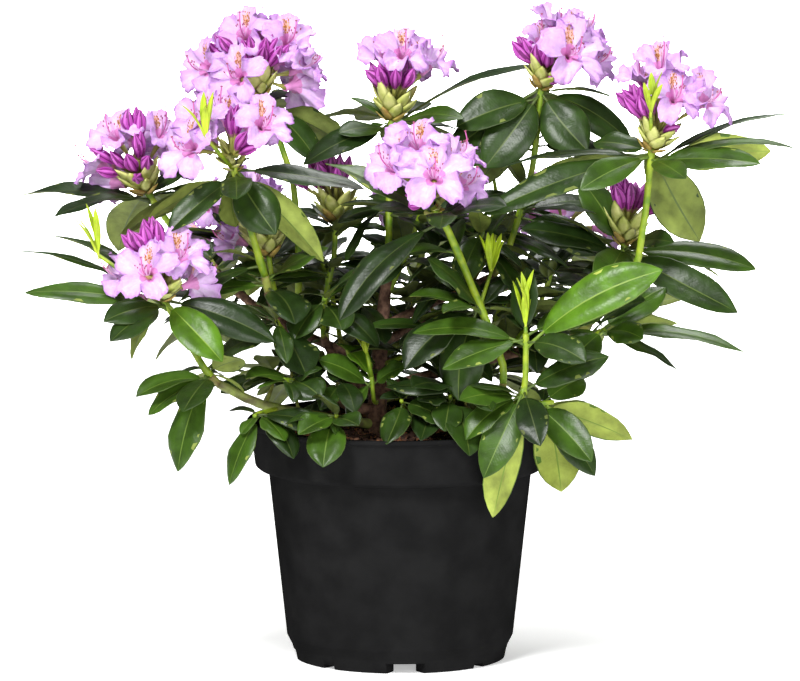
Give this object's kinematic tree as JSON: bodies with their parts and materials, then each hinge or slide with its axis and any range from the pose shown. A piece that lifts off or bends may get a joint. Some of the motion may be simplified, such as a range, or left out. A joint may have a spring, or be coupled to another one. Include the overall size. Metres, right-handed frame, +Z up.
{
  "type": "potted rhododendron",
  "caption": "Flowering evergreen shrub in a round black nursery pot: forked woody base, green shoots with whorls of long leaves, and domed heads of lilac flowers and buds.",
  "frame": {"origin": "centre of the pot's flat underside, on the surface it stands on", "axes": "+Z up; +X to the right and -Y to the front as the plant is looked at in the picture"},
  "size_m": [0.6567, 0.4351, 0.5507],
  "materials": {
    "pot_plastic": "matte black moulded plastic with a soft sheen",
    "potting_mix": "moist dark peat and bark chips",
    "bark": "dull red-brown bark with fine lengthwise cracks",
    "foliage": "glossy leathery leaves, dark green above and pale olive below, on yellow-green stems",
    "blossom": "thin matte lilac petals and magenta buds"
  },
  "bodies": {
    "root": {"pot": "pot_plastic", "potting_mix": "potting_mix", "main_stem": "bark", "bough_left_low": "bark", "bough_left": "bark", "bough_centre_left": "bark", "bough_left_outer": "bark", "bough_right_front": "bark", "bough_right": "bark", "bough_right_upper": "bark", "bough_back": "bark", "bough_back_left": "bark", "bough_back_right": "bark", "flowering_shoot_top_left": "blossom", "flowering_shoot_left": "blossom", "flowering_shoot_left_centre": "blossom", "flowering_shoot_left_front": "blossom", "flowering_shoot_top_centre": "blossom", "flowering_shoot_front_centre": "blossom", "flowering_shoot_top_right": "blossom", "leafy_shoot_centre_right": "foliage", "flowering_shoot_right": "blossom", "budding_shoot_right": "blossom", "budding_shoot_centre_left": "blossom", "budding_shoot_left_centre": "blossom", "leafy_shoot_centre": "foliage", "leafy_shoot_left_inner": "foliage", "leafy_shoot_left_front": "foliage", "leafy_shoot_low_left": "foliage", "leafy_shoot_low_centre": "foliage", "leafy_shoot_young_centre": "foliage", "leafy_shoot_low_front": "foliage", "leafy_shoot_low_front_right": "foliage", "leafy_shoot_front_right": "foliage", "leafy_shoot_low_right": "foliage", "leafy_shoot_right": "foliage", "leafy_shoot_inner_right": "foliage", "leafy_shoot_inner_centre": "foliage", "leafy_shoot_inner_low_right": "foliage", "leafy_shoot_inner_left": "foliage", "leafy_shoot_inner_back_right": "foliage", "leafy_shoot_inner_low_centre": "foliage", "flowering_shoot_back": "blossom", "leafy_shoot_back": "foliage", "flowering_shoot_back_left": "blossom", "leafy_shoot_back_left": "foliage", "flowering_shoot_back_right": "blossom", "leafy_shoot_back_right": "foliage", "leafy_shoot_low_back_left": "foliage", "leafy_shoot_low_back_right": "foliage"}
  },
  "joints": []
}
